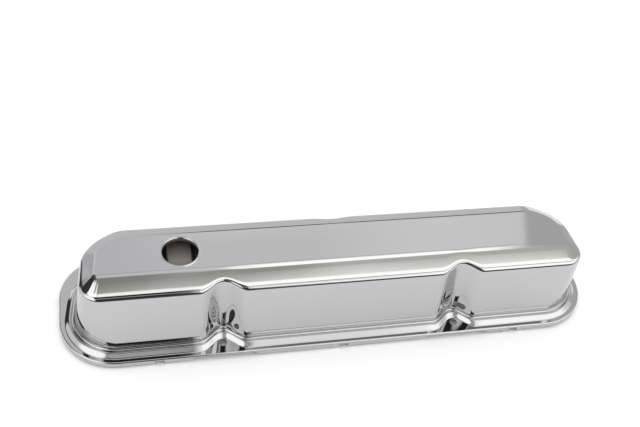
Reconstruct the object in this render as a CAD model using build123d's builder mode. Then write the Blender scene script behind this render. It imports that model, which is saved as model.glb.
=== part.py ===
from build123d import *
import os
from math import cos, pi, radians, sin

# Engine valve cover: a drawn steel shell with a spot-welded baffle under its breather hole.
# Millimetres. X runs along the cover, +Y is the side with three screws, +Z is up.
# Origin: middle of the cover, on the plane its gasket ears stand on.

# ---- sheet -------------------------------------------------------------------------------
sheet = 1.0  # steel sheet of the shell
ear_drop = 2.0  # the gasket ears reach this far below the lip
lip_height = 4.0  # straight part of the lip, up to the underside of the flange
flange_top = ear_drop + lip_height + sheet  # upper face of the flange
lip_bend = 1.6  # outer radius where the flange turns down into the lip

# ---- flange ------------------------------------------------------------------------------
flange_half_length = 248.5
flange_half_width = 61.0
near_corner = 50.0  # flange corner radius, two-screw side
far_corner = 45.0  # flange corner radius, three-screw side
ridge_inset = 9.0  # from the flange edge in to the ridge line
step_run = 3.0  # width of the slope from the flange up to the ridge
step_rise = 3.5
ridge_top = flange_top + step_rise
wall_root = 6.8  # from the ridge line in to the foot of the wall

# ---- walls and roof ----------------------------------------------------------------------
crease_height = 67.5  # where the wall turns into the sloping shoulder
crease_end_inset = 20.0  # from the flange's end to the end wall's crease
crease_half_length = flange_half_length - crease_end_inset
crease_half_width = 39.0
crease_corner = 17.0
roof_height = 74.4
roof_end_inset = 33.5
roof_half_length = flange_half_length - roof_end_inset
roof_near = 19.5  # roof edge, two-screw side
roof_far = 23.5  # roof edge, three-screw side
roof_corner = 5.0
end_lean = 5.0  # the end walls lean in toward the three-screw side, degrees

foot_reach = 6.0  # how far each bend spreads from its corner line
crease_reach = 3.4
roof_reach = 3.6
ridge_reach = 0.8
roof_spread = 12.0  # flat roof taken into its edge bend

# ---- screws ------------------------------------------------------------------------------
screw_hole = 7.2
near_screw_x = 108.0
near_screw_inset = 12.0  # from the flange edge
far_screw_inset = 11.0
far_screw_end_inset = 34.5
near_screw_y = near_screw_inset - flange_half_width
far_screw_x = flange_half_length - far_screw_end_inset
far_screw_y = flange_half_width - far_screw_inset
dimple_half_width = 21.0
dimple_depth = 12.0  # at the flange
near_dimple_top = 12.5  # depth at the crease, two-screw side
far_dimple_top = 4.5  # depth at the crease, three-screw side

# ---- lip cut-outs ------------------------------------------------------------------------
lip_gap = 27.0  # half length of the plain flange edge at each screw
slot_width = 8.0
ear_width = 6.5
near_slots = (-164.5, 0.0, 164.5)
far_slots = (-84.0, 84.0)
end_slot_y = 15.0

# ---- breather hole -----------------------------------------------------------------------
breather_end_inset = 106.5
breather_x = breather_end_inset - flange_half_length
breather_y = 3.0
breather_bore = 31.0
collar_depth = 4.0
collar_bend = 1.3

# ---- baffle ------------------------------------------------------------------------------
baffle_sheet = 0.9
baffle_height = 53.0  # upper face of the plate
baffle_end_inset = 45.5  # from the flange's end to the plate
baffle_past_screw = 35.5  # the plate ends this far beyond the near screw
baffle_left = baffle_end_inset - flange_half_length
baffle_right = baffle_past_screw - near_screw_x
near_cut = 10.0  # the left corners are cut off over these lengths
far_cut = 17.0
baffle_cut_y = 21.0
weld_gap = 0.05  # between a weld tab and the wall
tab_rise = 6.0
notch_offset = 0.5
notch_x = notch_offset - near_screw_x  # clears the screw dimple
notch_half = 21.0
notch_flat = 5.0
notch_y = -19.5
drain_inset = 23.0
drain_x = baffle_left + drain_inset
drain_y = -7.0
drain_hole = 8.0
box_y = 3.0
box_width = 29.0
box_length = 50.0
box_rise = 9.0
box_corner = 3.0
box_slant = 13.0  # the box leans toward the three-screw side
lid_width = 21.0
lid_length = 22.0

# Far corner of each wall line, from the end wall round to the long wall: distance inside the
# flange's end and distance from the middle line.
ridge_corner_path = [
    (10.5, 4.0), (12.3, 14.5), (15.9, 24.5), (22.5, 31.5), (31.0, 35.2),
    (38.0, 39.3), (43.5, 45.2), (50.5, 50.2), (61.5, flange_half_width - ridge_inset),
]
crease_corner_path = [
    (22.1, 4.0), (24.1, 12.0), (28.5, 19.5), (34.1, 26.0), (40.2, 30.9),
    (46.2, 34.6), (51.2, 37.2), (56.0, 38.6), (61.5, crease_half_width),
]
roof_corner_path = [
    (35.5, 4.0), (37.1, 9.0), (39.9, 13.4), (43.5, 17.0), (47.5, 19.8),
    (51.1, 21.7), (54.7, 22.9), (58.1, 23.4), (61.5, roof_far),
]

# A wall line: height, half length, near and far half width, near corner radius, near and far
# dimple depth, run in toward the middle, inset through the sheet, and its far corner.
ridge_line = (ridge_top, flange_half_length - ridge_inset, flange_half_width - ridge_inset,
              flange_half_width - ridge_inset, near_corner - ridge_inset, dimple_depth,
              dimple_depth, 0.0, 0.0, ridge_corner_path)
crease_line = (crease_height, crease_half_length, crease_half_width, crease_half_width,
               crease_corner, near_dimple_top, far_dimple_top, 0.0, 0.0, crease_corner_path)
roof_line = (roof_height, roof_half_length, roof_near, roof_far, roof_corner, 0.0, 0.0, 0.0,
             0.0, roof_corner_path)


def drawn(line, run_in, inset, drop):
    """The same wall line run in, inset through the sheet and lowered by drop."""
    return (line[0] - drop, *line[1:7], line[7] + run_in, line[8] + inset, line[9])


def blend(first, second, share):
    """Wall line part of the way from the first to the second."""
    numbers = [a + (b - a) * share for a, b in zip(first[:9], second[:9])]
    path = [(a[0] + (b[0] - a[0]) * share, a[1] + (b[1] - a[1]) * share)
            for a, b in zip(first[9], second[9])]
    return (*numbers, path)


def bend(before, corner, after, back, ahead, steps=4):
    """Wall lines round a bend, leaving the corner line by the shares back and ahead."""
    start = blend(corner, before, back)
    end = blend(corner, after, ahead)
    lines = []
    for i in range(steps + 1):
        s = i / steps
        lines.append(blend(blend(start, corner, s), blend(corner, end, s), s))
    return lines


def straight(first, last, shares):
    """Wall lines between two bends, closer together beside them, at these shares of the way."""
    return [blend(first, last, share) for share in shares]


def unit(dx, dy):
    size = (dx * dx + dy * dy) ** 0.5
    return dx / size, dy / size


def dimple_path(x0, y0, depth, inset, sign):
    """Bell-shaped dimple, drawn along +X for sign 1 (two-screw side) and -X for sign -1."""
    path = []
    for i in range(13):
        u = -1 + i / 6
        x = x0 + sign * u * dimple_half_width
        y = y0 + sign * depth * (1 + cos(pi * u)) / 2
        slope = -depth * pi / 2 * sin(pi * u) / dimple_half_width
        dx, dy = unit(sign, sign * slope)
        path.append((x - dy * inset, y + dx * inset))
    return path


def corner_path(points, inset, lean):
    """Far corner drawn in square to itself, ends kept square to the walls they meet."""
    path = []
    for i, (x, y) in enumerate(points):
        before, after = points[max(i - 1, 0)], points[min(i + 1, len(points) - 1)]
        dx, dy = unit(after[0] - before[0], after[1] - before[1])
        if i == 0:
            dx, dy = -sin(lean), cos(lean)
        if i == len(points) - 1:
            dx, dy = -1.0, 0.0
        path.append((x - dy * inset, y + dx * inset))
    return path


def curve(points, start, end):
    """Smooth curve with evenly spaced knots, so every wall line has the same ones."""
    spans = len(points) - 1
    tangents = []
    for way, a, b in ((start, points[0], points[1]), (end, points[-2], points[-1])):
        speed = spans * ((b[0] - a[0]) ** 2 + (b[1] - a[1]) ** 2) ** 0.5
        tangents.append((way[0] * speed, way[1] * speed))
    return Edge.make_spline(points, tangents=tangents, scale=False,
                            parameters=[i / spans for i in range(spans + 1)])


def wall_section(line):
    """Face inside one wall line, at its height."""
    height, half_length, near, far, corner, near_depth, far_depth, run_in, inset, path = line
    lean = radians(end_lean)
    radius = corner - run_in - inset
    centre_x = half_length - corner
    centre_y = corner - near
    near_y = run_in + inset - near
    sweep = [(centre_x + radius * sin(a), centre_y - radius * cos(a))
             for a in [(pi / 2 + lean) * i / 4 for i in range(5)]]
    right = corner_path([(flange_half_length - x, y) for x, y in path], run_in + inset, lean)
    left = [(-x, y) for x, y in right]
    far_bell = dimple_path(0, far - run_in, far_depth, inset, -1)
    with BuildSketch(Plane.XY.offset(height)) as section:
        with BuildLine():
            at = (-centre_x, near_y)
            for x in (-near_screw_x, near_screw_x):
                bell = dimple_path(x, run_in - near, near_depth, inset, 1)
                Line(at, bell[0])
                add(curve(bell, (1, 0), (1, 0)))
                at = bell[-1]
            Line(at, sweep[0])
            add(curve(sweep, (1, 0), (-sin(lean), cos(lean))))
            Line(sweep[-1], right[0])
            add(curve(right, (-sin(lean), cos(lean)), (-1, 0)))
            Line(right[-1], far_bell[0])
            add(curve(far_bell, (-1, 0), (-1, 0)))
            Line(far_bell[-1], left[-1])
            add(curve(left[::-1], (-1, 0), (-sin(lean), -cos(lean))))
            back = [(-x, y) for x, y in sweep[::-1]]
            Line(left[0], back[0])
            add(curve(back, (-sin(lean), -cos(lean)), (1, 0)))
        make_face()
    return section.sketch


def shift(first, second):
    """Inset and drop that move a corner line through the sheet, from its two face normals."""
    (a, b), (c, d) = unit(*first), unit(*second)
    across = a * d - b * c
    return sheet * (d - b) / across, sheet * (a - c) / across


def skin(depth):
    """Wall lines from the flange to the roof; depth 0 is the outside of the sheet, 1 the inside."""
    wall_length = crease_height - ridge_top
    wall_run = flange_half_width - ridge_inset - wall_root - crease_half_width
    shoulder_run = crease_half_width - roof_near
    level, slope = (0.0, 1.0), (step_rise, step_run)
    wall, shoulder = (wall_length, wall_run), (roof_height - crease_height, shoulder_run)
    at_toe, at_foot = shift(slope, level), shift(wall, level)
    at_crease, at_roof = shift(wall, shoulder), shift(shoulder, level)
    toe = drawn(ridge_line, -step_run, at_toe[0] * depth, step_rise + at_toe[1] * depth)
    ridge = drawn(ridge_line, 0, at_toe[0] * depth, at_toe[1] * depth)
    foot = drawn(ridge_line, wall_root, at_foot[0] * depth, at_foot[1] * depth)
    crease = drawn(crease_line, 0, at_crease[0] * depth, at_crease[1] * depth)
    roof = drawn(roof_line, 0, at_roof[0] * depth, at_roof[1] * depth)
    middle = drawn(roof, roof_spread, 0, 0)
    # Each bend is looser on the outside of its turn by one sheet.
    spread = sheet * depth
    ridge_part = ridge_reach - 0.46 * spread
    foot_part = foot_reach + 0.9 * spread
    crease_part = crease_reach - 0.6 * spread
    at_ridge = bend(toe, ridge, foot, ridge_part / step_run, ridge_part / wall_root, 3)
    at_foot = bend(at_ridge[-1], foot, crease, (foot_part - 0.7 * spread) / wall_root,
                   foot_part / wall_length)
    at_crease = bend(foot, crease, roof, crease_part / wall_length, crease_part / shoulder_run)
    at_roof = bend(crease, roof, middle, roof_reach / shoulder_run, roof_reach / roof_spread)
    return [toe, *straight(toe, at_ridge[0], (0.5,)), *at_ridge, *at_foot,
            *straight(at_foot[-1], at_crease[0], (0.03, 0.1, 0.3, 0.7, 0.9, 0.97)), *at_crease,
            *straight(at_crease[-1], at_roof[0], (0.08, 0.3, 0.7, 0.92)), *at_roof]


def flange_face(inset):
    """Flange outline, drawn in by inset."""
    length, width = flange_half_length - inset, flange_half_width - inset
    near, far = near_corner - inset, far_corner - inset
    with BuildSketch() as face:
        with BuildLine():
            FilletPolyline((-length, -width), (length, -width), (length, width), (-length, width),
                           radius=(near, near, far, far), close=True)
        make_face()
    return face.sketch


lip_ring = flange_face(0) - flange_face(sheet)
long_slots = [(x, -flange_half_width) for x in near_slots]
long_slots += [(x, flange_half_width) for x in far_slots]
end_slots = [(-flange_half_length, end_slot_y), (flange_half_length, end_slot_y)]
ear_span = slot_width + 2 * ear_width
under_flange = flange_top - sheet
screws = [(x, near_screw_y) for x in (-near_screw_x, near_screw_x)]
screws += [(x, far_screw_y) for x in (-far_screw_x, 0.0, far_screw_x)]
breather_axis = Axis((breather_x, breather_y, 0), (0, 0, 1))


def wall_at(height):
    """Half width between the long walls, inside, at a height, less the weld gap."""
    foot_half = flange_half_width - ridge_inset - wall_root
    share = (height - ridge_top) / (crease_height - ridge_top)
    run = foot_half - crease_half_width
    inside = sheet * ((crease_height - ridge_top) ** 2 + run ** 2) ** 0.5
    inside /= crease_height - ridge_top
    return foot_half - run * share - inside - weld_gap


plate_edge = wall_at(baffle_height) - 0.5
weld_tabs = [(baffle_left + near_cut + 3, notch_x - notch_half - 3, -1),
             (notch_x + notch_half + 2, baffle_right - 1.5, -1),
             (baffle_left + far_cut + 3, baffle_right - 1.5, 1)]

with BuildPart() as cover_shell:
    # Flange slab, its edge rounded over where the lip turns down.
    with BuildSketch(Plane.XY.offset(ear_drop)):
        add(flange_face(0))
    extrude(amount=flange_top - ear_drop)
    fillet(cover_shell.edges().group_by(Axis.Z)[-1], radius=lip_bend)
    # Step, ridge, wall, crease, shoulder and roof.
    for line in skin(0):
        add(wall_section(line))
    loft()
    # Hollow below the flange, leaving the lip.
    with BuildSketch(Plane.XY):
        add(flange_face(sheet))
    extrude(amount=under_flange - (lip_bend - sheet), mode=Mode.SUBTRACT)
    with BuildSketch(Plane.XY.offset(under_flange - (lip_bend - sheet))):
        add(flange_face(sheet))
    with BuildSketch(Plane.XY.offset(under_flange)):
        add(flange_face(lip_bend))
    loft(ruled=True, mode=Mode.SUBTRACT)
    # Hollow above it, one sheet inside the drawn wall.
    for line in skin(1):
        add(wall_section(line))
    loft(mode=Mode.SUBTRACT)
    # Gasket ears, hanging below the lip on both sides of every slot.
    with BuildSketch(Plane.XY):
        with Locations(*long_slots):
            Rectangle(ear_span, 4 * sheet)
        with Locations(*end_slots):
            Rectangle(4 * sheet, ear_span)
        add(lip_ring, mode=Mode.INTERSECT)
    extrude(amount=ear_drop + sheet)
    # Slots through the lip between the ears.
    with BuildSketch(Plane.XY):
        with Locations(*long_slots):
            Rectangle(slot_width, 4 * sheet)
        with Locations(*end_slots):
            Rectangle(4 * sheet, slot_width)
    extrude(amount=under_flange, mode=Mode.SUBTRACT)
    # The lip stops short of the screws, with sloping ends.
    flare = lip_height
    for side, places in ((-1, (-near_screw_x, near_screw_x)), (1, (-far_screw_x, 0, far_screw_x))):
        with BuildSketch(Plane.XZ.offset(-side * flange_half_width)):
            for x in places:
                with BuildLine():
                    Polyline((x - lip_gap - flare, 0), (x + lip_gap + flare, 0),
                             (x + lip_gap, under_flange), (x - lip_gap, under_flange), close=True)
                make_face()
        reach = 2 * sheet if side < 0 else flange_half_width - 36.0
        extrude(amount=reach, both=side < 0, mode=Mode.SUBTRACT)
    # Screw holes.
    with BuildSketch(Plane.XY):
        with Locations(*screws):
            Circle(screw_hole / 2)
    extrude(amount=ridge_top, mode=Mode.SUBTRACT)
    # Breather hole with its rim turned in.
    bore, lower = breather_bore / 2, roof_height - collar_depth
    with BuildSketch(Plane.XY.offset(lower)):
        with Locations((breather_x, breather_y)):
            Circle(bore + sheet)
    extrude(amount=collar_depth - sheet / 2)
    with BuildSketch(Plane.XZ.offset(-breather_y)):
        with BuildLine():
            Polyline((breather_x + bore, roof_height - collar_bend), (breather_x + bore, lower - 1),
                     (breather_x, lower - 1), (breather_x, roof_height + 1),
                     (breather_x + bore + collar_bend, roof_height + 1),
                     (breather_x + bore + collar_bend, roof_height))
            ThreePointArc((breather_x + bore + collar_bend, roof_height),
                          (breather_x + bore + collar_bend * (1 - cos(pi / 4)),
                           roof_height - collar_bend * (1 - sin(pi / 4))),
                          (breather_x + bore, roof_height - collar_bend))
        make_face()
    revolve(axis=breather_axis, mode=Mode.SUBTRACT)

with BuildPart() as baffle:
    # Plate, cut back at both left corners and round the screw dimple.
    with BuildSketch(Plane.XY.offset(baffle_height)):
        with BuildLine():
            FilletPolyline((baffle_right, -plate_edge), (baffle_right, plate_edge),
                           (baffle_left + far_cut, plate_edge), (baffle_left, baffle_cut_y),
                           (baffle_left, -baffle_cut_y), (baffle_left + near_cut, -plate_edge),
                           (notch_x - notch_half, -plate_edge), (notch_x - notch_flat, notch_y),
                           (notch_x + notch_flat, notch_y), (notch_x + notch_half, -plate_edge),
                           radius=(1, 1, 2, 2, 2, 2, 4, 5, 5, 4), close=True)
        make_face()
    extrude(amount=-baffle_sheet)
    # Edges turned up against the long walls, where they are spot-welded.
    for start, end, side in weld_tabs:
        with BuildSketch(Plane.YZ.offset(start)):
            with BuildLine():
                Polyline((side * (plate_edge - 2), baffle_height - baffle_sheet),
                         (side * (plate_edge - 0.6), baffle_height - baffle_sheet),
                         (side * (wall_at(baffle_height)), baffle_height),
                         (side * (wall_at(baffle_height + tab_rise)), baffle_height + tab_rise),
                         (side * (wall_at(baffle_height + tab_rise) - baffle_sheet),
                          baffle_height + tab_rise),
                         (side * (wall_at(baffle_height) - baffle_sheet - 0.4),
                          baffle_height + 0.4),
                         (side * (plate_edge - 2), baffle_height), close=True)
            make_face()
        extrude(amount=end - start)
    # Raised box below the breather hole.
    for inset, mode in ((0, Mode.ADD), (baffle_sheet, Mode.SUBTRACT)):
        with BuildSketch(Plane.XY.offset(baffle_height - inset)):
            with Locations((breather_x, box_y)):
                RectangleRounded(box_width - 1.6 * inset, box_length - 1.6 * inset, box_corner)
        with BuildSketch(Plane.XY.offset(baffle_height + box_rise - inset)):
            with Locations((breather_x, box_y + box_slant)):
                RectangleRounded(lid_width - 1.6 * inset, lid_length - 1.6 * inset, box_corner)
        loft(mode=mode)
    with BuildSketch(Plane.XY.offset(baffle_height)):
        with Locations((drain_x, drain_y)):
            Circle(drain_hole / 2)
    extrude(amount=-2 * baffle_sheet, mode=Mode.SUBTRACT)

os.makedirs("parts", exist_ok=True)
cover_shell.part.label = "cover_shell"
export_step(cover_shell.part, "parts/cover_shell.step")
baffle.part.label = "baffle"
export_step(baffle.part, "parts/baffle.step")
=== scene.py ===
import math

import bpy
import numpy as np
from mathutils import Matrix, Vector
from mathutils.geometry import delaunay_2d_cdt


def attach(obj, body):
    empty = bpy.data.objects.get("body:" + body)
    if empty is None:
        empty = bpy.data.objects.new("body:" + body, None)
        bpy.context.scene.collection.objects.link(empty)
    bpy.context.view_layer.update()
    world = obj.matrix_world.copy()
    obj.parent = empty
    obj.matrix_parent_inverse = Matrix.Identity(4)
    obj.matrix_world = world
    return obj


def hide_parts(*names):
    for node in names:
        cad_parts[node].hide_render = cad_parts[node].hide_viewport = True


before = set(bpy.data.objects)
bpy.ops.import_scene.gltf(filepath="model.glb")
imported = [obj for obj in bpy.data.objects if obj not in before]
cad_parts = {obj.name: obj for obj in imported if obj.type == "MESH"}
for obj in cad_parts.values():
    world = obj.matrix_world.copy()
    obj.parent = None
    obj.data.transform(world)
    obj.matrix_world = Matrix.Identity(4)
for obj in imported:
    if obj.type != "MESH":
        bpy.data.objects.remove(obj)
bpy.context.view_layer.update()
mm = 0.001

# Valve cover: one drawn sheet with a roof, sloping shoulders, walls, a flange and a lip.
# All sizes are in millimetres. +Y is the side with three screws, z 0 is under the gasket ears.
cover = {
    "sheet": 1.0,
    "flangeTop": 7.0, "flangeHalf": (248.5, 61.0), "flangeCorners": (50.0, 45.0),
    "lipBottom": 2.0, "lipBend": 1.6, "lipStub": 5.38,  # the stub is what is left above a cut
    "earBottom": 0.0, "slotHalf": 4.0, "earHalf": 10.5,
    "nearSlots": (-164.5, 0.0, 164.5), "farSlots": (-84.0, 84.0), "endSlotY": 15.0,
    "gapHalf": 27.6, "gapSlopeHalf": 31.0, "cutEdge": 0.02,  # half the width of a cut's edge
    "ridgeTop": 10.5, "ridgeInset": 9.0, "stepRun": 4.3, "wallRoot": 4.0, "gutter": 1.9,
    "creaseHeight": 67.5, "creaseHalf": (228.5, 39.0), "creaseCorner": 17.0,
    "roofHeight": 74.4, "roofHalf": (215.0, 19.5, 23.5), "roofCorner": 5.0, "roofSpread": 12.0,
    "endLean": 5.0, "flangeLedge": 2.0,
    "bends": {"toe": 0.7, "ridge": 0.8, "foot": 3.4, "crease": 3.4, "roof": 3.6},
    "innerBends": {"ridge": -0.46, "foot": 0.9, "footBack": 0.2, "crease": -0.6},  # change inside
    "steps": {"outside": (4, 6, 14, 12, 10), "inside": (3, 4, 9, 6, 6)},
    "nearScrews": ((-108.0, -49.0), (108.0, -49.0)),
    "farScrews": ((-214.0, 50.0), (0.0, 50.0), (214.0, 50.0)),
    "screwHole": 7.2,
    "dimpleHalf": 21.0, "dimpleDepths": (12.0, 8.3, 3.2),  # flange, near crease, far crease
    "breather": (-142.0, 3.0), "bore": 31.0, "collarDepth": 4.0, "collarBend": 1.3,
    "collarEdge": 0.15, "collarRoot": (0.1, 0.03),
    "rimSlips": (0.85, 0.6, 0.32, 0.1), "rimSpread": 0.98, "rimTilts": (9.0, 13.0, 9.0),
}
# Far corner of each wall line, from its end to its long side.
ridgeCorner = [(238.0, 4.0), (236.2, 14.5), (232.6, 24.5), (226.0, 31.5), (217.5, 35.2),
               (210.5, 39.3), (205.0, 45.2), (198.0, 50.2), (187.0, 52.0)]
creaseCorner = [(226.4, 4.0), (224.4, 12.0), (220.0, 19.5), (214.4, 26.0), (208.3, 30.9),
                (202.3, 34.6), (197.3, 37.2), (192.5, 38.6), (187.0, 39.0)]
roofCorner = [(213.0, 4.0), (211.4, 9.0), (208.6, 13.4), (205.0, 17.0), (201.0, 19.8),
              (197.4, 21.7), (193.8, 22.9), (190.4, 23.4), (187.0, 23.5)]


def wallLine(height, halfLength, near, far, corner, nearDepth, farDepth, lift, path):
    # One row of numbers for a wall outline: seven sizes, its run in and inset, how far a dimple
    # lifts it for each millimetre that it goes in, and its far corner.
    return np.concatenate([[height, halfLength, near, far, corner, nearDepth, farDepth, 0, 0, lift],
                           np.array(path, float).ravel()])


def bendRows(before, corner, after, back, ahead, steps):
    # Quadratic Bezier from a point a share back along one side to a share ahead along the next.
    start = corner + (before - corner) * back
    end = corner + (after - corner) * ahead
    s = np.linspace(0, 1, steps + 1)[:, None]
    return (1 - s) ** 2 * start + 2 * s * (1 - s) * corner + s ** 2 * end


def straightRows(first, last, steps):
    # Evenly spaced rows strictly between two rows.
    s = np.linspace(0, 1, steps + 1)[1:-1, None]
    return first + (last - first) * s


def hermite(points, startWay, endWay, count):
    # Cubic Hermite curve through points of shape (rows, points, 2); ends leave along given ways.
    chord = np.linalg.norm(np.diff(points, axis=1), axis=2)
    slope = np.diff(points, axis=1) / chord[:, :, None]
    between = (slope[:, :-1] * chord[:, 1:, None] + slope[:, 1:] * chord[:, :-1, None])
    between /= (chord[:, 1:] + chord[:, :-1])[:, :, None]
    rows = len(points)
    tangent = np.concatenate([np.tile(startWay, (rows, 1, 1)), between,
                              np.tile(endWay, (rows, 1, 1))], axis=1)
    u = np.linspace(0, points.shape[1] - 1, count)
    k = np.minimum(u.astype(int), points.shape[1] - 2)
    t = (u - k)[None, :, None]
    size = chord[:, k][:, :, None]
    return ((2 * t ** 3 - 3 * t ** 2 + 1) * points[:, k]
            + (t ** 3 - 2 * t ** 2 + t) * tangent[:, k] * size
            + (3 * t ** 2 - 2 * t ** 3) * points[:, k + 1]
            + (t ** 3 - t ** 2) * tangent[:, k + 1] * size)


def bell(x0, y0, depth, inset, sign, count):
    # Dimple outline y = y0 + depth (1 + cos pi u) / 2, then moved inset along its own normal.
    u = np.linspace(-1, 1, count)[None, :]
    half = cover["dimpleHalf"]
    x = x0 + sign * u * half
    y = y0 + sign * depth * (1 + np.cos(np.pi * u)) / 2
    dx = sign * np.ones_like(y)
    dy = -sign * depth * np.pi / 2 * np.sin(np.pi * u) / half
    size = np.hypot(dx, dy)
    return np.stack([x - dy / size * inset, y + dx / size * inset], axis=2)


def wallSurface(rows, density=1.0):
    # Every row's closed outline: straights, three bells, two round corners, two cut-in corners.
    (height, halfLength, near, far, corner, nearDepth, farDepth, runIn, inset,
     lift) = rows[:, :10, None].transpose(1, 0, 2)
    path = rows[:, 10:].reshape(len(rows), -1, 2)
    whole = runIn + inset
    lean = math.radians(cover["endLean"])

    def run(a, b, count):  # straight run without its last point
        s = np.linspace(0, 1, max(2, int(count * density)) + 1)[None, :-1, None]
        return a[:, None] + (b - a)[:, None] * s

    def arc(x0, y0, radius, a0, a1, count):  # x0 + r sin a, y0 - r cos a
        a = np.linspace(a0, a1, int(count * density) + 1)[None, :]
        return np.stack([x0 + radius * np.sin(a), y0 - radius * np.cos(a)], axis=2)

    count = int(56 * density) + 1
    centreX, centreY, radius = halfLength - corner, corner - near, corner - whole
    nearArc = arc(centreX, centreY, radius, 0, math.pi / 2 + lean, 40)
    before = np.concatenate([path[:, :1], path[:, :-1]], axis=1)
    after = np.concatenate([path[:, 1:], path[:, -1:]], axis=1)
    way = after - before
    way[:, 0] = (-math.sin(lean), math.cos(lean))
    way[:, -1] = (-1.0, 0.0)
    way /= np.linalg.norm(way, axis=2, keepdims=True)
    moved = path + whole[:, :, None] * np.stack([-way[:, :, 1], way[:, :, 0]], axis=2)
    farArc = hermite(moved, np.array([-math.sin(lean), math.cos(lean)]), np.array([-1.0, 0.0]),
                     int(96 * density) + 1)
    screwX = cover["nearScrews"][1][0]
    bells = [bell(x, runIn - near, nearDepth, inset, 1, count) for x in (-screwX, screwX)]
    farBell = bell(0.0, far - runIn, farDepth, inset, -1, count)
    flip = np.array([-1.0, 1.0])
    leftFar, leftNear = farArc[:, ::-1] * flip, nearArc[:, ::-1] * flip
    parts = [leftNear[:, :-1], run(leftNear[:, -1], bells[0][:, 0], 10), bells[0][:, :-1],
             run(bells[0][:, -1], bells[1][:, 0], 22), bells[1][:, :-1],
             run(bells[1][:, -1], nearArc[:, 0], 10), nearArc[:, :-1],
             run(nearArc[:, -1], farArc[:, 0], 8), farArc[:, :-1],
             run(farArc[:, -1], farBell[:, 0], 22), farBell[:, :-1],
             run(farBell[:, -1], leftFar[:, 0], 22), leftFar[:, :-1],
             run(leftFar[:, -1], leftNear[:, 0], 8)]
    flat = np.concatenate(parts, axis=1)

    def dip(x, depth):  # depth (1 + cos pi x / half) / 2 within the dimple, and 0 outside it
        return depth * (1 + np.cos(np.pi * np.clip(x / cover["dimpleHalf"], -1, 1))) / 2

    # dimples go in along the shoulder's slope, so its face stays flat above them
    _, nearRoof, farRoof = cover["roofHalf"]
    steeper = (cover["creaseHalf"][1] - nearRoof) / (cover["creaseHalf"][1] - farRoof)
    rise = lift * np.where(flat[:, :, 1] < 0, dip(np.abs(flat[:, :, 0]) - screwX, nearDepth),
                           dip(flat[:, :, 0], farDepth) * steeper)
    return np.concatenate([flat, (height + rise)[:, :, None]], axis=2)


def skinRows(depth, fine):
    # Wall lines from the flange to the roof, straight between quadratic bends. Depth 0 is the
    # outside of the sheet and 1 the inside; fine counts the steps of each bend.
    c = cover
    sheet = c["sheet"]
    rise = c["ridgeTop"] - c["flangeTop"]
    pitch = (c["roofHeight"] - c["creaseHeight"]) / (c["creaseHalf"][1] - c["roofHalf"][1])
    ridge = wallLine(c["ridgeTop"], c["flangeHalf"][0] - c["ridgeInset"],
                     *[c["flangeHalf"][1] - c["ridgeInset"]] * 2,
                     c["flangeCorners"][0] - c["ridgeInset"], c["dimpleDepths"][0],
                     c["dimpleDepths"][0], 0, ridgeCorner)
    crease = wallLine(c["creaseHeight"], c["creaseHalf"][0], *[c["creaseHalf"][1]] * 2,
                      c["creaseCorner"], c["dimpleDepths"][1], c["dimpleDepths"][2], pitch, creaseCorner)
    roof = wallLine(c["roofHeight"], *c["roofHalf"], c["roofCorner"], 0, 0, pitch, roofCorner)

    def shift(first, second):  # move a corner line through the sheet, from its two side directions
        (a, b), (d, e) = [np.array(v, float) / np.hypot(*v) for v in (first, second)]
        across = a * e - b * d
        return sheet * (e - b) / across, sheet * (a - d) / across

    def drawn(line, runIn, inset, drop):
        moved = line.copy()
        moved[0] -= drop
        moved[7] += runIn
        moved[8] += inset
        return moved

    length = c["creaseHeight"] - c["ridgeTop"]
    runOut = c["flangeHalf"][1] - c["ridgeInset"] - c["wallRoot"] - c["creaseHalf"][1]
    shoulder = c["creaseHalf"][1] - c["roofHalf"][1]
    level, slope = (0.0, 1.0), (rise, c["stepRun"])
    wall, top = (length, runOut), (c["roofHeight"] - c["creaseHeight"], shoulder)
    toeAt, footAt = shift(slope, level), shift(wall, level)
    creaseAt, roofAt = shift(wall, top), shift(top, level)
    toe = drawn(ridge, -c["stepRun"], toeAt[0] * depth, rise + toeAt[1] * depth)
    low = drawn(ridge, 0, toeAt[0] * depth, toeAt[1] * depth)
    foot = drawn(ridge, c["wallRoot"], footAt[0] * depth, footAt[1] * depth + c["gutter"])
    high = drawn(crease, 0, creaseAt[0] * depth, creaseAt[1] * depth)
    edge = drawn(roof, 0, roofAt[0] * depth, roofAt[1] * depth)
    middle = drawn(edge, c["roofSpread"], 0, 0)
    ledge = drawn(toe, -c["flangeLedge"], 0, 0)
    b, change, s = c["bends"], c["innerBends"], sheet * depth
    ridgeReach, footReach, creaseReach = [b[k] + change[k] * s for k in ("ridge", "foot", "crease")]
    footBack = b["foot"] + change["footBack"] * s
    atToe = bendRows(ledge, toe, low, b["toe"] / c["flangeLedge"], b["toe"] / c["stepRun"], fine[0])
    atRidge = bendRows(toe, low, foot, ridgeReach / c["stepRun"], ridgeReach / c["wallRoot"], fine[1])
    atFoot = bendRows(atRidge[-1], foot, high, footBack / c["wallRoot"], footReach / length, fine[2])
    atCrease = bendRows(foot, high, edge, creaseReach / length, creaseReach / shoulder, fine[3])
    atRoof = bendRows(high, edge, middle, b["roof"] / shoulder, b["roof"] / c["roofSpread"], fine[4])
    return np.vstack([atToe, straightRows(atToe[-1], atRidge[0], 2), atRidge,
                      atFoot, straightRows(atFoot[-1], atCrease[0], 10), atCrease,
                      straightRows(atCrease[-1], atRoof[0], 5), atRoof])


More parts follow.
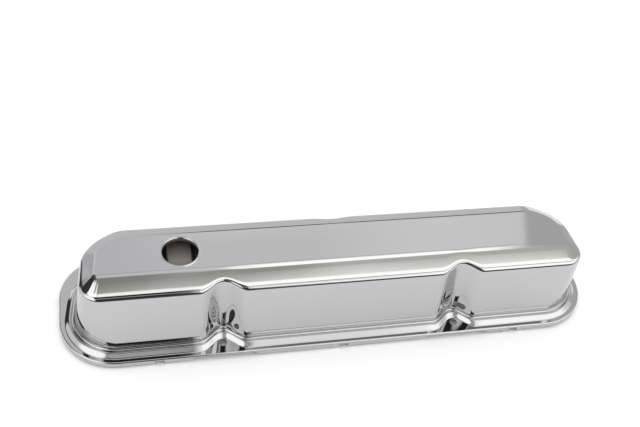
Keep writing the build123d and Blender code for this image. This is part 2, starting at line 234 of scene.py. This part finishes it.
def gridNormals(points, closed=True):
    # Unit cross product of the second-order slopes along both directions of the grid.
    def slopes(p, axis, wrap):
        p = np.moveaxis(p, axis, 0)
        if wrap:
            p = np.concatenate([p[-1:], p, p[:1]])
        step = np.diff(p, axis=0)
        size = np.linalg.norm(step, axis=2, keepdims=True) + 1e-12
        rate = step / size
        mid = (rate[:-1] * size[1:] + rate[1:] * size[:-1]) / (size[1:] + size[:-1])
        if not wrap:
            mid = np.concatenate([2 * rate[:1] - mid[:1], mid, 2 * rate[-1:] - mid[-1:]])
        return np.moveaxis(mid, 0, axis)
    normal = np.cross(slopes(points, 1, closed), slopes(points, 0, False))
    return normal / np.linalg.norm(normal, axis=2, keepdims=True)


def inside(places, ring):
    # Even-odd test: crossings of a line to the right of each place with the ring's edges.
    x, y = places[:, 0, None], places[:, 1, None]
    x0, y0 = ring[:, 0], ring[:, 1]
    x1, y1 = np.roll(x0, -1), np.roll(y0, -1)
    level = (y0 > y) != (y1 > y)
    rise = np.where(y1 == y0, 1.0, y1 - y0)
    cross = x0 + (y - y0) / rise * (x1 - x0)
    return (level & (x < cross)).sum(axis=1) % 2 == 1


up, down = np.array([0.0, 0.0, 1.0]), np.array([0.0, 0.0, -1.0])
outer, inner = 0, 1  # material numbers of the two sides of the sheet


class Sheet:
    # Collects patches of one closed mesh: vertices, faces, material numbers and corner normals.
    def __init__(self):
        self.points, self.faces, self.normals, self.slots = [], [], [], []
        self.count = 0

    def add(self, points):
        points = np.asarray(points, float).reshape(-1, 3)
        self.points.append(points)
        self.count += len(points)
        return np.arange(self.count - len(points), self.count)

    def grid(self, index, normals, slot, flip=False, closed=True):
        # Quads between neighbouring rows and columns of an index grid; closed joins the last column.
        nxt = np.roll(index, -1, axis=1)
        nxtNormal = np.roll(normals, -1, axis=1)
        quads = np.stack([index[:-1], nxt[:-1], nxt[1:], index[1:]], axis=2)
        corners = np.stack([normals[:-1], nxtNormal[:-1], nxtNormal[1:], normals[1:]], axis=2)
        if not closed:
            quads, corners = quads[:, :-1], corners[:, :-1]
        quads, corners = quads.reshape(-1, 4), corners.reshape(-1, 4, 3)
        if flip:
            quads, corners = quads[:, ::-1], corners[:, ::-1]
        self.faces.append(quads)
        self.normals.append(corners.reshape(-1, 3))
        self.slots.append(np.full(len(quads), slot))

    def flat(self, rings, normal, slot):
        # Triangulated level face inside the first ring and outside the others.
        at = np.concatenate(self.points)
        index = np.concatenate(rings)
        edges, start = [], 0
        for ring in rings:
            k = np.arange(len(ring))
            edges.append(np.stack([k, np.roll(k, -1)], axis=1) + start)
            start += len(ring)
        made = delaunay_2d_cdt([Vector(p) for p in at[index, :2]], np.concatenate(edges).tolist(),
                               [], 2, 1e-6)
        source = np.array([o[0] if o else -1 for o in made[3]])
        if source.min() < 0:
            raise ValueError("rings cross each other")
        tris = index[source[np.array(made[2])]]
        middle = at[tris].mean(axis=1)
        for ring in rings[1:]:
            tris, middle = [v[~inside(middle, at[ring])] for v in (tris, middle)]
        a, b, c = at[tris[:, 0]], at[tris[:, 1]], at[tris[:, 2]]
        turn = np.cross(b - a, c - a)[:, 2] * normal[2]
        tris = np.where(turn[:, None] > 0, tris, tris[:, ::-1])
        self.faces.append(tris)
        self.normals.append(np.tile(normal, (len(tris) * 3, 1)))
        self.slots.append(np.full(len(tris), slot))

    def build(self, name, materials):
        mesh = bpy.data.meshes.new(name)
        points = np.concatenate(self.points) * mm
        sizes = np.concatenate([np.full(len(f), f.shape[1]) for f in self.faces])
        corners = np.concatenate([f.ravel() for f in self.faces])
        mesh.vertices.add(len(points))
        mesh.vertices.foreach_set("co", points.astype(np.float32).ravel())
        mesh.loops.add(len(corners))
        mesh.loops.foreach_set("vertex_index", corners.astype(np.int32))
        mesh.polygons.add(len(sizes))
        starts = np.concatenate([[0], np.cumsum(sizes)[:-1]])
        mesh.polygons.foreach_set("loop_start", starts.astype(np.int32))
        mesh.polygons.foreach_set("material_index", np.concatenate(self.slots).astype(np.int32))
        mesh.polygons.foreach_set("use_smooth", np.ones(len(sizes), bool))
        for material in materials:
            mesh.materials.append(material)
        mesh.update(calc_edges=True)
        mesh.normals_split_custom_set(np.concatenate(self.normals).astype(np.float32))
        piece = bpy.data.objects.new(name, mesh)
        bpy.context.scene.collection.objects.link(piece)
        return piece


def flangePath():
    # Points round the flange's outline, of straight sides and quarter circles, with each point's
    # outward normal and the height of the lip's lower edge there.
    c = cover
    halfX, halfY = c["flangeHalf"]
    near, far = c["flangeCorners"]
    farGapReach = 25.0  # how far in from the far side its gaps reach round the corners
    halfPi = math.pi / 2

    def cuts(centre):  # a pair of places at each edge of a slot and of its ears
        return [centre + way * half + step * c["cutEdge"] for half in (c["slotHalf"], c["earHalf"])
                for way in (-1, 1) for step in (-1, 1)]

    def placesBetween(marks, low, high):  # the places from low to high, to a ten-thousandth
        return np.unique(np.round([m for m in marks if low - 1e-9 <= m <= high + 1e-9], 4))

    def side(reach, slots, screws):  # columns along a long side
        marks = [-reach, reach, *np.linspace(-reach, reach, 60)]
        for x in slots:
            marks += cuts(x)
        for x in screws:
            marks += [x + k for k in (-c["gapSlopeHalf"], -c["gapHalf"], c["gapHalf"], c["gapSlopeHalf"])]
        return placesBetween(marks, -reach, reach)

    def lipBottom(x, y):
        # the lip's level, lower at ears, cut away at slots and sloping up into the gaps
        z = np.full(x.shape, c["lipBottom"])
        farSide = y > halfY - farGapReach
        nearSide = y < 1.0 - halfY
        for sideMask, slots, screws in ((nearSide, c["nearSlots"], c["nearScrews"]),
                                        (farSide, c["farSlots"], c["farScrews"])):
            for sx in slots:
                d = np.abs(x - sx)
                z = np.where(sideMask & (d < c["earHalf"]), c["earBottom"], z)
                z = np.where(sideMask & (d < c["slotHalf"]), c["lipStub"], z)
            for sx, _ in screws:
                d = np.abs(x - sx)
                share = np.clip((c["gapSlopeHalf"] - d) / (c["gapSlopeHalf"] - c["gapHalf"]), 0, 1)
                z = np.where(sideMask & (d < c["gapSlopeHalf"]),
                             c["lipBottom"] + (c["lipStub"] - c["lipBottom"]) * share, z)
        d = np.abs(y - c["endSlotY"])
        ends = np.abs(x) > halfX - 0.5
        z = np.where(ends & (d < c["earHalf"]), c["earBottom"], z)
        z = np.where(ends & (d < c["slotHalf"]), c["lipStub"], z)
        return z

    def straight(x, y, nx, ny):
        shape = np.broadcast(x, y).shape
        return [np.broadcast_to(v, shape).astype(float) for v in (x, y, nx, ny)]

    def corner(radius, nx, ny):  # corner's centre plus the radius along each normal
        centreX, centreY = (halfX - radius) * np.sign(nx[0]), (halfY - radius) * np.sign(ny[0])
        return centreX + radius * nx, centreY + radius * ny, nx, ny

    # right half of the outline, up from the near side
    nearX = side(halfX - near, c["nearSlots"], [p[0] for p in c["nearScrews"]])
    farX = side(halfX - far, c["farSlots"], [p[0] for p in c["farScrews"]])[::-1]
    nearTurn = np.linspace(0, halfPi, 41)[1:-1]
    endLow, endHigh = -halfY + near, halfY - far
    endY = placesBetween([endLow, endHigh, *np.linspace(endLow, endHigh, 12), *cuts(c["endSlotY"])],
                         endLow, endHigh)
    # the far corner has extra places where an ear or a gap ends on it
    earEnd = math.asin((c["endSlotY"] + c["earHalf"] - (halfY - far)) / far)
    halfCut = 0.0005  # half a cut's edge as an angle
    more = [earEnd - halfCut, earEnd + halfCut]
    for gapEnd in (c["gapHalf"], c["gapSlopeHalf"]):
        reach = c["farScrews"][2][0] + gapEnd - (halfX - far)
        if reach < far:
            more.append(math.acos(reach / far))
    farTurn = np.unique(np.concatenate([np.linspace(0, halfPi, 61)[1:-1], more]))
    back, nearBack = farTurn[::-1], nearTurn[::-1]
    bits = [straight(nearX, -halfY, 0, -1),
            corner(near, np.sin(nearTurn), -np.cos(nearTurn)),
            straight(halfX, endY, 1, 0),
            corner(far, np.cos(farTurn), np.sin(farTurn)),
            straight(farX, halfY, 0, 1),
            corner(far, -np.cos(back), np.sin(back)),
            straight(-halfX, endY[::-1], -1, 0),
            corner(near, -np.sin(nearBack), -np.cos(nearBack))]
    x, y, nx, ny = [np.concatenate(v) for v in zip(*bits)]
    z = lipBottom(x, y)
    # ears and slots that end on a corner are read as on the straight ends
    onCorner = (np.abs(x) > halfX - far) & (y > halfY - far) & (np.abs(y - c["endSlotY"]) < c["earHalf"])
    z = np.where(onCorner, c["earBottom"], z)
    onCorner &= np.abs(y - c["endSlotY"]) < c["slotHalf"]
    z = np.where(onCorner, c["lipStub"], z)
    return x, y, nx, ny, z


def circleRing(x, y, radius, z, count):
    # x + r cos a, y + r sin a at one height.
    a = np.linspace(0, 2 * math.pi, count + 1)[:-1]
    return np.stack([x + radius * np.cos(a), y + radius * np.sin(a), np.full(count, z)], axis=1)


def addLip(mesh):
    # The outline moved in along its normal as the sheet bends from level to upright. Returns the
    # index rings of its outer and inner top edges.
    c = cover
    sheet, top = c["sheet"], c["flangeTop"]
    x, y, nx, ny, bottom = flangePath()

    def lipGrid(straightInset, radius, steps, lowest):
        # level at the top, then a quarter turn of the radius, then down to the lower edge
        a = np.linspace(math.pi / 2, 0, steps + 1)
        centre = straightInset + radius
        inset = np.concatenate([centre - radius * np.cos(a), [straightInset]])[:, None]
        turnLow = top - c["lipBend"]
        z = np.concatenate([turnLow + radius * np.sin(a), [0]])[:, None] * np.ones((1, len(x)))
        z[-1] = lowest
        p = np.stack([x - nx * inset, y - ny * inset, z], axis=2)
        tilt = np.concatenate([a, [0]])[:, None]
        n = np.stack([nx * np.cos(tilt), ny * np.cos(tilt), np.sin(tilt) * np.ones_like(nx)], axis=2)
        return p, n

    lipOut, lipOutNormal = lipGrid(0.0, c["lipBend"], 8, bottom)
    lipIn, lipInNormal = lipGrid(sheet, c["lipBend"] - sheet, 4, bottom)
    outIndex = mesh.add(lipOut).reshape(lipOut.shape[:2])
    inIndex = mesh.add(lipIn).reshape(lipIn.shape[:2])
    mesh.grid(outIndex, lipOutNormal, outer, flip=True)
    mesh.grid(inIndex, -lipInNormal, inner)
    # lower edge, facing down between cuts and sideways at them
    a, b = outIndex[-1], inIndex[-1]
    along = np.roll(lipOut[-1], -1, axis=0) - lipOut[-1]
    faceNormal = np.cross(np.stack([-nx, -ny, np.zeros_like(nx)], axis=1), along)
    faceNormal /= np.linalg.norm(faceNormal, axis=1, keepdims=True)
    quads = np.stack([a, np.roll(a, -1), np.roll(b, -1), b], axis=1)
    mesh.faces.append(quads[:, ::-1])
    mesh.normals.append(np.repeat(faceNormal, 4, axis=0))
    mesh.slots.append(np.full(len(quads), outer))
    return outIndex[0], inIndex[0]


def addSkin(mesh, depth, steps, density):
    # Wall, shoulder and roof edge on one side of the sheet.
    surface = wallSurface(skinRows(depth, steps), density)
    normals = gridNormals(surface)
    normals[0], normals[-1] = up, up
    index = mesh.add(surface).reshape(surface.shape[:2])
    sign = 1 if depth == 0 else -1
    mesh.grid(index, normals * sign, inner if depth else outer, flip=depth == 1)
    return index


def addScrewHoles(mesh):
    # A short cylinder through the flange for each screw; returns its upper and lower rings.
    top = cover["flangeTop"]
    upper, lower = [], []
    for x, y in (*cover["nearScrews"], *cover["farScrews"]):
        rings = [circleRing(x, y, cover["screwHole"] / 2, z, 48) for z in (top, top - cover["sheet"])]
        index = np.stack([mesh.add(r) for r in rings])
        way = rings[0] - np.array([x, y, top])
        way = -way / np.linalg.norm(way, axis=1, keepdims=True)
        mesh.grid(index, np.stack([way, way]), outer)
        upper.append(index[0])
        lower.append(index[1])
    return upper, lower


def addBreather(mesh):
    # The roof turns in over a quarter circle, goes down the bore and back up outside the collar.
    # Returns the outermost ring on the roof and the last one under it.
    c = cover
    x, y = c["breather"]
    sheet, roof, bend, edge = c["sheet"], c["roofHeight"], c["collarBend"], c["collarEdge"]
    bore, low = c["bore"] / 2, roof - c["collarDepth"]
    wall, under = bore + sheet, roof - sheet
    wide, slight = c["collarRoot"]
    a = np.linspace(0, math.pi / 2, 9)
    slip = np.array(c["rimSlips"])  # rim rings lean away from the near roof edge by this much
    radii = np.concatenate([bore + bend + slip * c["rimSpread"], bore + bend * (1 - np.sin(a)), [bore],
                            [bore + edge], [wall - edge], [wall], [wall],
                            [wall + slight], [wall + wide]])
    levels = np.concatenate([[roof] * len(slip), roof - bend * (1 - np.cos(a)), [low + edge], [low],
                             [low], [low + edge], [under - wide], [under - slight], [under]])
    slip = np.concatenate([slip, np.zeros(len(radii) - len(slip))])
    rings = np.stack([circleRing(x, y - d, r, z, 128) for r, z, d in zip(radii, levels, slip)])
    index = mesh.add(rings).reshape(rings.shape[:2])
    turned = gridNormals(rings)
    turned[0], turned[-1] = up, down
    # the rim stands up a trace before it turns in
    away = (rings[0] - np.array([x, y, roof])) / radii[0]
    for ring, tilt in enumerate(c["rimTilts"], start=1):
        turned[ring] = up * math.cos(math.radians(tilt)) + away * math.sin(math.radians(tilt))
    mesh.grid(index, turned, outer)
    return index[0], index[-1]


def makeCover(outerLook, innerLook):
    mesh = Sheet()
    lipTop, lipUnder = addLip(mesh)
    skinOut = addSkin(mesh, 0, cover["steps"]["outside"], 1.0)
    skinIn = addSkin(mesh, 1, cover["steps"]["inside"], 0.75)
    upper, lower = addScrewHoles(mesh)
    mesh.flat([lipTop, skinOut[0], *upper], up, outer)
    mesh.flat([lipUnder, skinIn[0], *lower], down, inner)
    rim, collarRoot = addBreather(mesh)
    mesh.flat([skinOut[-1], rim], up, outer)
    mesh.flat([skinIn[-1], collarRoot], down, inner)
    piece = mesh.build("valveCover", [outerLook, innerLook])
    print("valve cover:", len(piece.data.polygons), "faces")
    return piece


def nodeTree(name):
    material = bpy.data.materials.new(name)
    material.use_nodes = True
    tree = material.node_tree
    return material, tree, tree.nodes["Principled BSDF"]


def makeNode(tree, kind, **inputs):
    node = tree.nodes.new(kind)
    for key, value in inputs.items():
        if key in node.inputs:
            node.inputs[key].default_value = value
        else:
            setattr(node, key, value)
    return node


# Finishes: wave is the height of the press's waves in metres.
chrome = {"colour": (0.50, 0.502, 0.506, 1), "roughness": 0.035, "wave": 0.00004, "waveScale": 9.0}
plated = {"colour": (0.30, 0.27, 0.25), "roughness": 0.30, "metal": 1.0}
baffleSteel = {"colour": (0.235, 0.215, 0.195), "roughness": 0.5, "metal": 0.45}
cloudy = {"scale": 14.0, "dark": (0.75, 0.72, 0.7), "light": (1.2, 1.2, 1.2), "spread": 0.07}


def chromeMaterial():
    # Polished plate: a clean mirror with faint long waves left by the press.
    material, tree, shader = nodeTree("polishedChrome")
    shader.inputs["Base Color"].default_value = chrome["colour"]
    shader.inputs["Metallic"].default_value = 1.0
    shader.inputs["Roughness"].default_value = chrome["roughness"]
    place = makeNode(tree, "ShaderNodeTexCoord")
    wave = makeNode(tree, "ShaderNodeTexNoise", Scale=chrome["waveScale"], Detail=1.0)
    bump = makeNode(tree, "ShaderNodeBump", Strength=1.0, Distance=chrome["wave"])
    tree.links.new(place.outputs["Object"], wave.inputs["Vector"])
    tree.links.new(wave.outputs["Fac"], bump.inputs["Height"])
    tree.links.new(bump.outputs["Normal"], shader.inputs["Normal"])
    return material


def platedMaterial(name, look):
    # Thin plating or bare steel: brownish, cloudy and fairly dull.
    material, tree, shader = nodeTree(name)
    shader.inputs["Metallic"].default_value = look["metal"]
    place = makeNode(tree, "ShaderNodeTexCoord")
    cloud = makeNode(tree, "ShaderNodeTexNoise", Scale=cloudy["scale"], Detail=4.0)
    tint = makeNode(tree, "ShaderNodeValToRGB")
    for stop, stopAt, shade in zip(tint.color_ramp.elements, (0.3, 0.7), ("dark", "light")):
        stop.color = (*[v * share for v, share in zip(look["colour"], cloudy[shade])], 1)
        stop.position = stopAt
    rough = makeNode(tree, "ShaderNodeMapRange")
    rough.inputs["To Min"].default_value = look["roughness"] - cloudy["spread"]
    rough.inputs["To Max"].default_value = look["roughness"] + cloudy["spread"]
    tree.links.new(place.outputs["Object"], cloud.inputs["Vector"])
    tree.links.new(cloud.outputs["Fac"], tint.inputs["Fac"])
    tree.links.new(cloud.outputs["Fac"], rough.inputs["Value"])
    tree.links.new(tint.outputs["Color"], shader.inputs["Base Color"])
    tree.links.new(rough.outputs["Result"], shader.inputs["Roughness"])
    return material


shell = makeCover(chromeMaterial(), platedMaterial("plainPlating", plated))
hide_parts("cover_shell")
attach(shell, "root")

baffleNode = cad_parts["baffle"]
baffleNode.data.materials.clear()
baffleNode.data.materials.append(platedMaterial("baffleSteel", baffleSteel))
print("baffle: steel finish on its solid")

# Studio: a pale floor under an even sky. What the chrome mirrors is painted on the sky as soft
# patches: "arc" is the angle up from +Y over the top and down to -Y, in degrees, and "side" the
# share of +X. Each holds a centre, a half width and a softness. A later patch covers an earlier.
studio = {
    "floor": (0.95, 0.95, 0.95, 1), "floorX": (-0.75, 0.75), "floorY": (-0.42, 0.75),
    "plainSky": (1.25, 1.25, 1.255, 1),
    "gain": 1.13, "base": (0.90, 0.90, 0.905), "drift": 1.2, "driftScale": 2.6,
    "patches": [
        # roof and far shoulder
        {"arc": (53, 5, 0.8), "side": (0.12, 0.20, 0.05), "colour": (0.845, 0.845, 0.85)},
        {"arc": (40, 30, 6), "side": (-0.16, 0.20, 0.06), "colour": (0.765, 0.765, 0.785)},
        {"arc": (47, 12, 6), "side": (0.34, 0.08, 0.08), "colour": (0.97, 0.97, 0.97)},
        {"arc": (2, 14, 6), "side": (0.0, 2.0, 0.1), "colour": (0.755, 0.755, 0.76)},
        {"arc": (17, 4.5, 3), "side": (0.27, 0.21, 0.06), "colour": (0.03, 0.03, 0.03)},
        {"arc": (57, 1.2, 1.5), "side": (0.2, 0.3, 0.1), "colour": (0.55, 0.55, 0.56)},
        # flange and step, middle and right
        {"arc": (127, 40, 5), "side": (0.16, 0.14, 0.08), "colour": (1.19, 1.19, 1.20)},
        {"arc": (127, 40, 5), "side": (0.60, 0.30, 0.08), "colour": (1.62, 1.62, 1.63)},
        # bright line above the near shoulder, then the shoulder itself
        {"arc": (72, 9, 4), "side": (0.27, 0.15, 0.04), "colour": (1.75, 1.73, 1.68)},
        {"arc": (84, 9, 3), "side": (-0.08, 0.15, 0.05), "colour": (0.365, 0.352, 0.313)},
        {"arc": (85.5, 5.0, 1.5), "side": (0.14, 0.10, 0.06), "colour": (0.455, 0.46, 0.41)},
        {"arc": (85.5, 5.0, 1.5), "side": (0.48, 0.26, 0.08), "colour": (0.68, 0.68, 0.62)},
        # bright and dark lines along the crease and the flange's edge, right
        {"arc": (99, 8.5, 1.5), "side": (0.42, 0.40, 0.10), "colour": (1.80, 1.75, 1.68)},
        {"arc": (109, 4.5, 2), "side": (0.43, 0.31, 0.06), "colour": (0.42, 0.41, 0.40)},
        {"arc": (74, 10, 3), "side": (0.62, 0.20, 0.04), "colour": (0.64, 0.62, 0.58)},
        {"arc": (143, 5, 3), "side": (0.42, 0.33, 0.08), "colour": (1.90, 1.90, 1.90)},
        # dark crease and foot with the paler step between them, left
        {"arc": (126, 29, 3), "side": (-0.12, 0.21, 0.04), "colour": (0.04, 0.036, 0.033)},
        {"arc": (130, 5, 2), "side": (-0.12, 0.21, 0.06), "colour": (0.55, 0.54, 0.52)},
        {"arc": (132, 32, 8), "side": (-0.64, 0.28, 0.06), "colour": (1.60, 1.60, 1.58)},
        # low in front
        {"arc": (172, 22, 3), "side": (-0.08, 0.26, 0.08), "colour": (0.035, 0.032, 0.029)},
        {"arc": (178, 16, 3), "side": (0.42, 0.24, 0.08), "colour": (0.06, 0.056, 0.05)},
        {"arc": (178, 12, 4), "side": (0.0, 1.2, 0.1), "colour": (0.10, 0.098, 0.09)},
        # right end, then the left end and its corner
        {"arc": (27, 44, 6), "side": (0.80, 0.374, 0.004), "colour": (0.60, 0.60, 0.60)},
        {"arc": (8, 28, 5), "side": (-0.73, 0.09, 0.02), "colour": (0.04, 0.04, 0.04)},
        {"arc": (70, 14, 3), "side": (-0.36, 0.13, 0.04), "colour": (0.17, 0.165, 0.15)},
        {"arc": (66, 16, 4), "side": (-0.56, 0.19, 0.04), "colour": (0.05, 0.05, 0.05)},
        {"arc": (38, 14, 4), "side": (-0.71, 0.06, 0.015), "colour": (0.05, 0.05, 0.05)},
        {"arc": (87.0, 7.5, 1), "side": (-0.41, 0.06, 0.03), "colour": (1.90, 1.90, 1.88)},
        {"arc": (89.5, 6.0, 1), "side": (-0.31, 0.05, 0.03), "colour": (1.90, 1.90, 1.88)},
        {"arc": (93.0, 5.0, 1), "side": (-0.20, 0.07, 0.03), "colour": (1.90, 1.90, 1.88)},
        {"arc": (95.0, 4.5, 1.5), "side": (-0.03, 0.09, 0.03), "colour": (1.55, 1.54, 1.50)},
        {"arc": (30, 22, 8), "side": (-0.56, 0.07, 0.03), "colour": (0.62, 0.62, 0.63)},
    ],
}
# Camera: heading is turned from +Y towards +X, and down and roll are in degrees too.
cam = {"place": (-0.1916, -0.5180, 0.6668), "lens": 50.85, "sensor": 36.0,
       "heading": 17.996, "down": 45.417, "roll": 9.533}


def makeFloor():
    (x0, x1), (y0, y1) = studio["floorX"], studio["floorY"]
    mesh = bpy.data.meshes.new("floor")
    mesh.from_pydata([(x0, y0, 0), (x1, y0, 0), (x1, y1, 0), (x0, y1, 0)], [], [(0, 1, 2, 3)])
    material, tree, shader = nodeTree("paleFloor")
    shader.inputs["Base Color"].default_value = studio["floor"]
    shader.inputs["Roughness"].default_value = 0.9
    shader.inputs["Specular IOR Level"].default_value = 0.0
    mesh.materials.append(material)
    floor = bpy.data.objects.new("floor", mesh)
    bpy.context.scene.collection.objects.link(floor)


def makeCamera():
    data = bpy.data.cameras.new("camera")
    data.sensor_width, data.lens = cam["sensor"], cam["lens"]
    view = bpy.data.objects.new("camera", data)
    heading, dip, roll = [math.radians(cam[k]) for k in ("heading", "down", "roll")]
    level = Vector((math.cos(heading), -math.sin(heading), 0))
    ahead = Vector((math.sin(heading) * math.cos(dip), math.cos(heading) * math.cos(dip), -math.sin(dip)))
    over = level.cross(ahead)
    right = level * math.cos(roll) + over * math.sin(roll)
    above = over * math.cos(roll) - level * math.sin(roll)
    turn = Matrix((right, above, -ahead)).transposed().to_4x4()
    view.matrix_world = Matrix.Translation(cam["place"]) @ turn
    bpy.context.scene.collection.objects.link(view)
    bpy.context.scene.camera = view


def makeSky():
    # Mirrored rays see the painted patches and every other ray sees the plain sky.
    world = bpy.data.worlds.new("studioSky")
    world.use_nodes = True
    bpy.context.scene.world = world
    tree = world.node_tree
    links = tree.links

    def gained(colour):
        return (*[v * studio["gain"] for v in colour], 1)

    def mathNode(operation, first, second=0.0, third=0.0):
        node = makeNode(tree, "ShaderNodeMath", operation=operation)
        for socket, value in zip(node.inputs, (first, second, third)):
            if isinstance(value, bpy.types.NodeSocket):
                links.new(value, socket)
            else:
                socket.default_value = value
        return node.outputs[0]

    def band(value, centre, half, soft):
        # 1 within half of the centre, smoothly down to 0 over twice the softness
        away = mathNode("ABSOLUTE", mathNode("SUBTRACT", value, centre))
        ramp = makeNode(tree, "ShaderNodeMapRange", interpolation_type="SMOOTHSTEP")
        for name, number in (("From Min", half - soft), ("From Max", half + soft),
                             ("To Min", 1.0), ("To Max", 0.0)):
            ramp.inputs[name].default_value = number
        links.new(away, ramp.inputs["Value"])
        return ramp.outputs["Result"]

    place = makeNode(tree, "ShaderNodeTexCoord")
    split = makeNode(tree, "ShaderNodeSeparateXYZ")
    drift = makeNode(tree, "ShaderNodeTexNoise", Scale=studio["driftScale"], Detail=2.0)
    links.new(place.outputs["Generated"], split.inputs[0])
    links.new(place.outputs["Generated"], drift.inputs["Vector"])
    # arc = atan2(z, y) in degrees, counted on past 180 in front, with a slow drift of its edges
    turn = mathNode("ARCTAN2", split.outputs[2], split.outputs[1])
    turn = mathNode("MULTIPLY_ADD", mathNode("LESS_THAN", turn, -math.pi / 2), 2 * math.pi, turn)
    angle = mathNode("MULTIPLY", turn, 180 / math.pi)
    wander = mathNode("MULTIPLY_ADD", drift.outputs["Fac"], 2 * studio["drift"], -studio["drift"])
    arc = mathNode("ADD", angle, wander)
    side = split.outputs[0]
    colour = makeNode(tree, "ShaderNodeRGB").outputs[0]
    colour.default_value = gained(studio["base"])
    for patch in studio["patches"]:
        mask = mathNode("MULTIPLY", band(arc, *patch["arc"]), band(side, *patch["side"]))
        mix = makeNode(tree, "ShaderNodeMix", data_type="RGBA")
        links.new(mask, mix.inputs[0])
        links.new(colour, mix.inputs[6])  # 6 and 7 are the node's two colours
        mix.inputs[7].default_value = gained(patch["colour"])
        colour = mix.outputs[2]
    kind = makeNode(tree, "ShaderNodeLightPath")
    final = makeNode(tree, "ShaderNodeMix", data_type="RGBA")
    links.new(kind.outputs["Is Glossy Ray"], final.inputs[0])
    final.inputs[6].default_value = studio["plainSky"]
    links.new(colour, final.inputs[7])
    links.new(final.outputs[2], tree.nodes["Background"].inputs["Color"])


makeFloor()
makeSky()
makeCamera()
print("studio:", len(studio["patches"]), "patches on the sky")
bpy.context.scene.view_settings.view_transform = "Standard"
print("scene ready")
